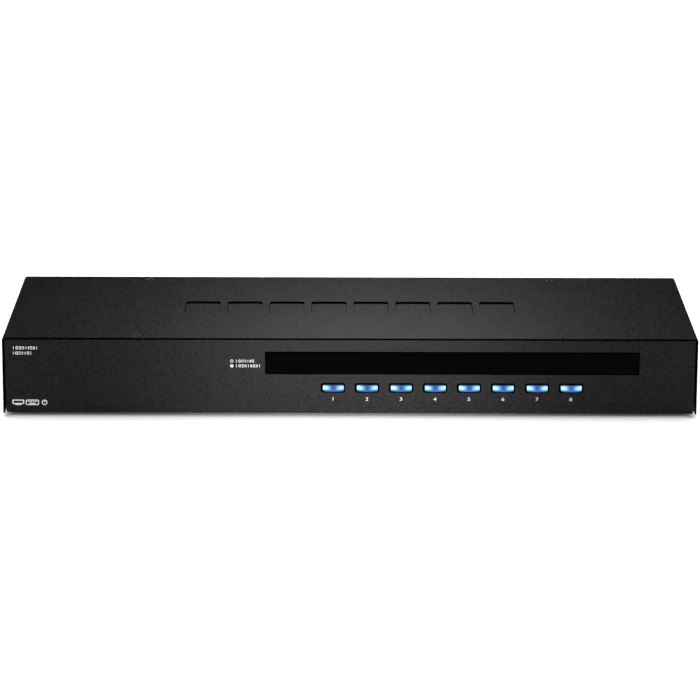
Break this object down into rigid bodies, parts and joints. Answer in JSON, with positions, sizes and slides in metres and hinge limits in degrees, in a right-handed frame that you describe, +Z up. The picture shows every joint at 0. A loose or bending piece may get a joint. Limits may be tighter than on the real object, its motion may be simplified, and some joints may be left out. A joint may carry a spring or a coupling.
{
  "type": "kvm switch",
  "caption": "Black rack-height desktop KVM switch: a shallow folded-steel case with a smoked display window over a row of numbered blue push buttons.",
  "frame": {"origin": "middle of the whole object seen from above, on the surface the feet stand on", "axes": "+X to the right along the front panel, +Y to the rear, +Z up; the front panel faces -Y"},
  "size_m": [0.394, 0.1498, 0.0465],
  "materials": {
    "black_paint": "fine-textured black powder coat",
    "black_zinc": "black zinc plating",
    "rubber": "matte",
    "smoked_acrylic": "dark smoked, polished",
    "blue_plastic": "glossy, tinted blue",
    "black_plastic": "moulded, satin",
    "grey_plastic": "moulded, satin",
    "clear_epoxy": "milky and polished",
    "circuit_board": "green solder mask, satin",
    "tinned_steel": "bright tin plating"
  },
  "bodies": {
    "case": {"base_chassis": "black_paint", "top_cover": "black_paint", "cover_screw_front_left": "black_zinc", "cover_screw_front_right": "black_zinc", "cover_screw_rear_left": "black_zinc", "cover_screw_rear_right": "black_zinc", "foot_front_left": "rubber", "foot_front_right": "rubber", "foot_rear_left": "rubber", "foot_rear_right": "rubber", "display_window": "smoked_acrylic", "switch_body_1": "black_plastic", "switch_body_2": "black_plastic", "switch_body_3": "black_plastic", "switch_body_4": "black_plastic", "switch_body_5": "black_plastic", "switch_body_6": "black_plastic", "switch_body_7": "black_plastic", "switch_body_8": "black_plastic", "board_link": "black_plastic", "buzzer": "black_plastic", "power_jack": "black_plastic", "port_led_1": "clear_epoxy", "port_led_2": "clear_epoxy", "port_led_3": "clear_epoxy", "port_led_4": "clear_epoxy", "port_led_5": "clear_epoxy", "port_led_6": "clear_epoxy", "port_led_7": "clear_epoxy", "port_led_8": "clear_epoxy", "front_board": "circuit_board", "main_board": "circuit_board", "pc_port_1": "tinned_steel", "pc_port_2": "tinned_steel", "pc_port_3": "tinned_steel", "pc_port_4": "tinned_steel", "pc_port_5": "tinned_steel", "pc_port_6": "tinned_steel", "pc_port_7": "tinned_steel", "pc_port_8": "tinned_steel", "chain_port": "tinned_steel", "console_video_port": "tinned_steel", "usb_port_stack": "tinned_steel", "ps2_port_stack": "tinned_steel"},
    "button_1": {"button_cap_1": "blue_plastic", "switch_plunger_1": "grey_plastic"},
    "button_2": {"button_cap_2": "blue_plastic", "switch_plunger_2": "grey_plastic"},
    "button_3": {"button_cap_3": "blue_plastic", "switch_plunger_3": "grey_plastic"},
    "button_4": {"button_cap_4": "blue_plastic", "switch_plunger_4": "grey_plastic"},
    "button_5": {"button_cap_5": "blue_plastic", "switch_plunger_5": "grey_plastic"},
    "button_6": {"button_cap_6": "blue_plastic", "switch_plunger_6": "grey_plastic"},
    "button_7": {"button_cap_7": "blue_plastic", "switch_plunger_7": "grey_plastic"},
    "button_8": {"button_cap_8": "blue_plastic", "switch_plunger_8": "grey_plastic"}
  },
  "joints": [
    {"name": "button_1_press", "type": "slide", "parent": "case", "child": "button_1", "axis": [0, 1, 0], "range_m": [0, 0.0007], "stiffness_N_per_m": 400, "springref_m": -0.0015},
    {"name": "button_2_press", "type": "slide", "parent": "case", "child": "button_2", "axis": [0, 1, 0], "range_m": [0, 0.0007], "stiffness_N_per_m": 400, "springref_m": -0.0015},
    {"name": "button_3_press", "type": "slide", "parent": "case", "child": "button_3", "axis": [0, 1, 0], "range_m": [0, 0.0007], "stiffness_N_per_m": 400, "springref_m": -0.0015},
    {"name": "button_4_press", "type": "slide", "parent": "case", "child": "button_4", "axis": [0, 1, 0], "range_m": [0, 0.0007], "stiffness_N_per_m": 400, "springref_m": -0.0015},
    {"name": "button_5_press", "type": "slide", "parent": "case", "child": "button_5", "axis": [0, 1, 0], "range_m": [0, 0.0007], "stiffness_N_per_m": 400, "springref_m": -0.0015},
    {"name": "button_6_press", "type": "slide", "parent": "case", "child": "button_6", "axis": [0, 1, 0], "range_m": [0, 0.0007], "stiffness_N_per_m": 400, "springref_m": -0.0015},
    {"name": "button_7_press", "type": "slide", "parent": "case", "child": "button_7", "axis": [0, 1, 0], "range_m": [0, 0.0007], "stiffness_N_per_m": 400, "springref_m": -0.0015},
    {"name": "button_8_press", "type": "slide", "parent": "case", "child": "button_8", "axis": [0, 1, 0], "range_m": [0, 0.0007], "stiffness_N_per_m": 400, "springref_m": -0.0015}
  ]
}
